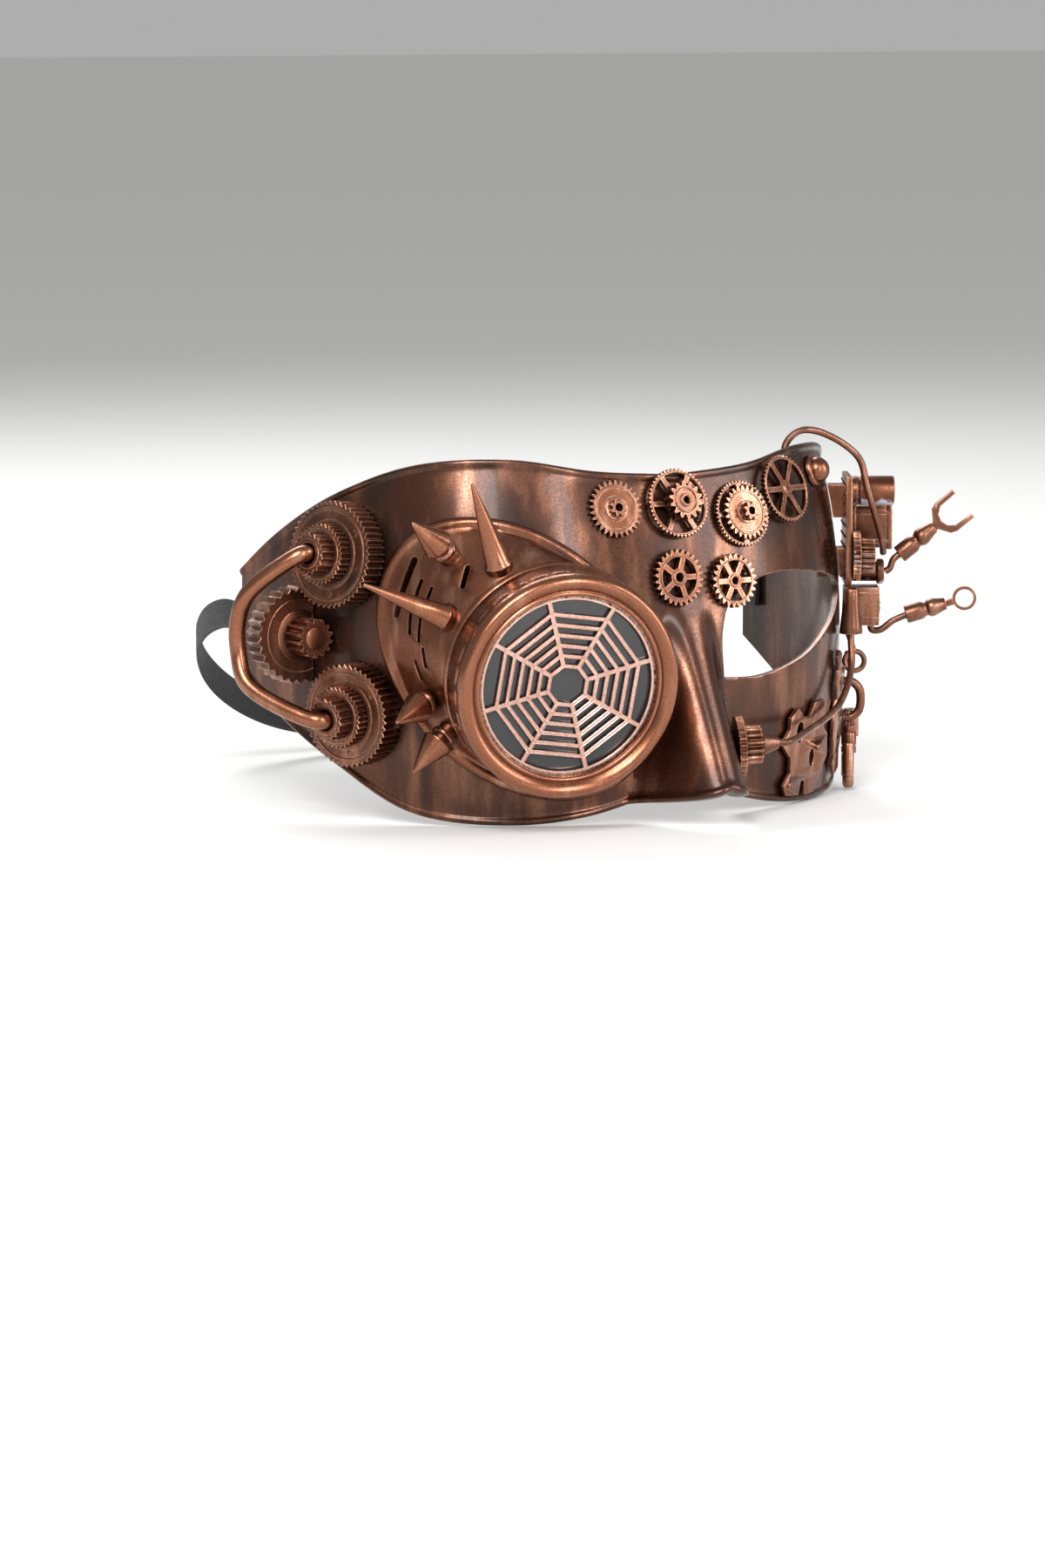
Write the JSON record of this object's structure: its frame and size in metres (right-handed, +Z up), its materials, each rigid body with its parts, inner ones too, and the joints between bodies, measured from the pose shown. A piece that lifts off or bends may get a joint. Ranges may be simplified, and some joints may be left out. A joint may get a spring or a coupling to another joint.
{
  "type": "steampunk half mask",
  "caption": "Costume half mask in antique copper with a screw-front goggle over one eye, glued gears, spikes, a tube, leads and an elastic strap.",
  "frame": {"origin": "the point of the nose bridge that rests on the wearer's face, at the shell's front surface", "axes": "+X towards the wearer's left, +Y backwards towards the head, +Z up; the mask faces -Y"},
  "size_m": [0.2107, 0.191, 0.1008],
  "materials": {
    "shell_copper": "dark brown-black plastic with a rubbed metallic copper paint, glossy",
    "antique_copper": "copper-plated plastic, dark in the recesses and bright on the edges",
    "rose_copper": "bright rose-copper plating",
    "smoked_lens": "smoked clear plastic, polished",
    "part_copper": "sprayed copper over pale plastic",
    "lead_copper": "formed copper wire and crimped terminals, antique copper",
    "black_elastic": "flat braided black elastic",
    "black_tab": "black plastic strap tab"
  },
  "bodies": {
    "mask": {"mask_shell": "shell_copper", "goggle_neck": "antique_copper", "goggle_cup": "antique_copper", "spike_top_long": "antique_copper", "spike_side_long": "antique_copper", "spike_upper_short_collar": "antique_copper", "spike_upper_short": "antique_copper", "spike_lower_short_collar": "antique_copper", "spike_lower_short": "antique_copper", "spike_bottom_short_collar": "antique_copper", "spike_bottom_short": "antique_copper", "brow_gear_a": "antique_copper", "brow_wheel_b": "antique_copper", "brow_pinion_b": "antique_copper", "brow_ring_c": "antique_copper", "brow_gear_c": "antique_copper", "brow_wheel_d": "antique_copper", "brow_wheel_e": "antique_copper", "brow_wheel_f": "antique_copper", "upper_gear_large": "antique_copper", "upper_gear_small": "antique_copper", "lower_gear_large": "antique_copper", "lower_gear_small": "antique_copper", "temple_tube": "antique_copper", "edge_gear": "antique_copper", "edge_pinion": "antique_copper", "circuit_board": "part_copper", "capacitor": "antique_copper", "chip_box": "part_copper", "board_gear": "antique_copper", "flanged_barrel": "antique_copper", "connector_block": "part_copper", "fork_lead": "lead_copper", "fork_terminal": "lead_copper", "ring_lead": "lead_copper", "ring_terminal": "lead_copper", "arch_wire": "lead_copper", "dome_knob": "antique_copper", "bell_ferrule": "antique_copper", "cheek_lead": "lead_copper", "cone_ferrule": "antique_copper", "nose_gear": "antique_copper", "cheek_plate_front": "antique_copper", "cheek_plate_rear": "antique_copper", "wire_loop": "lead_copper", "ribbed_pin": "antique_copper", "hook_tube": "antique_copper", "screw_barrel": "antique_copper", "knurled_screw": "antique_copper", "side_channel": "antique_copper", "round_rod": "antique_copper", "strap_tab_right": "black_tab", "strap_tab_left": "black_tab", "strap": "black_elastic"},
    "lens_stack": {"smoked_lens": "smoked_lens", "web_grille": "rose_copper"},
    "bezel": {"bezel_ring": "antique_copper"}
  },
  "joints": [
    {"name": "lens_slide", "type": "slide", "parent": "mask", "child": "lens_stack", "axis": [-0.2396, -0.9609, -0.1392], "range_m": [0, 0.005]},
    {"name": "bezel_turn", "type": "hinge", "parent": "lens_stack", "child": "bezel", "pos_m": [-0.046, -0.015, -0.007], "axis": [-0.2396, -0.9609, -0.1392], "range_deg": [0, 720]}
  ],
  "couplings": [
    {"joint": "lens_slide", "follows": "bezel_turn", "m_per_rad": 0.00039789}
  ]
}
